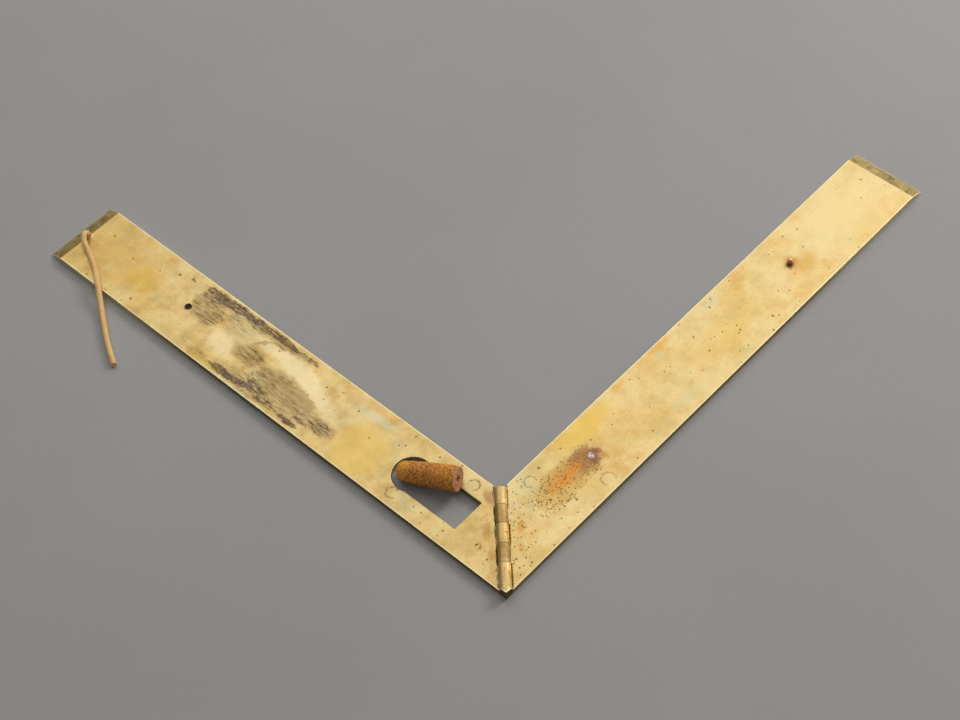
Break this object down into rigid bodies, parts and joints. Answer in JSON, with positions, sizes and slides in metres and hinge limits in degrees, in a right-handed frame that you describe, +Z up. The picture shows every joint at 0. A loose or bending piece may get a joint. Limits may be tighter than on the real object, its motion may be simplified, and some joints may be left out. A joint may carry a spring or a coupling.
{
  "type": "folding square",
  "caption": "Folding brass square: hinged mitred leaves with bevelled ends, a plumb window with a loose bob, and a leather line.",
  "frame": {"origin": "outer corner of the right angle, on the resting face", "axes": "+X along the right leaf's outer edge, +Y along the left leaf's outer edge, +Z up out of the resting face"},
  "size_m": [0.2225, 0.204, 0.0103],
  "materials": {
    "left_leaf_brass": "worn yellow brass with dark patina and fine scratches",
    "right_leaf_brass": "worn yellow brass with rust stains",
    "knuckle_brass": "pitted, dull brass tube",
    "pin_brass": "dull brass rod",
    "peg_copper": "worn copper-coloured peg",
    "rusty_iron": "rough orange-brown rust",
    "lace_leather": "tan waxed lace"
  },
  "bodies": {
    "left_leaf": {"left_leaf": "left_leaf_brass", "hinge_knuckle_1": "knuckle_brass", "hinge_knuckle_3": "knuckle_brass", "hinge_knuckle_5": "knuckle_brass", "hinge_pin": "pin_brass", "plumb_cord": "lace_leather"},
    "right_leaf": {"right_leaf": "right_leaf_brass", "hinge_knuckle_2": "knuckle_brass", "hinge_knuckle_4": "knuckle_brass", "locating_peg": "peg_copper"},
    "bob": {"plumb_bob": "rusty_iron"}
  },
  "joints": [
    {"name": "fold", "type": "hinge", "parent": "left_leaf", "child": "right_leaf", "pos_m": [0, 0, 0.00215], "axis": [-0.7071, -0.7071, 0], "range_deg": [0, 180], "deforming": ["plumb_cord"]},
    {"name": "bob_lift", "type": "hinge", "parent": "left_leaf", "child": "bob", "pos_m": [0.0025, 0.03596, 0.00525], "axis": [0, -0.9956, 0.0933], "range_deg": [0, 180]}
  ],
  "couplings": [
    {"joint": "bob_lift", "follows": "fold", "ratio": 1}
  ]
}
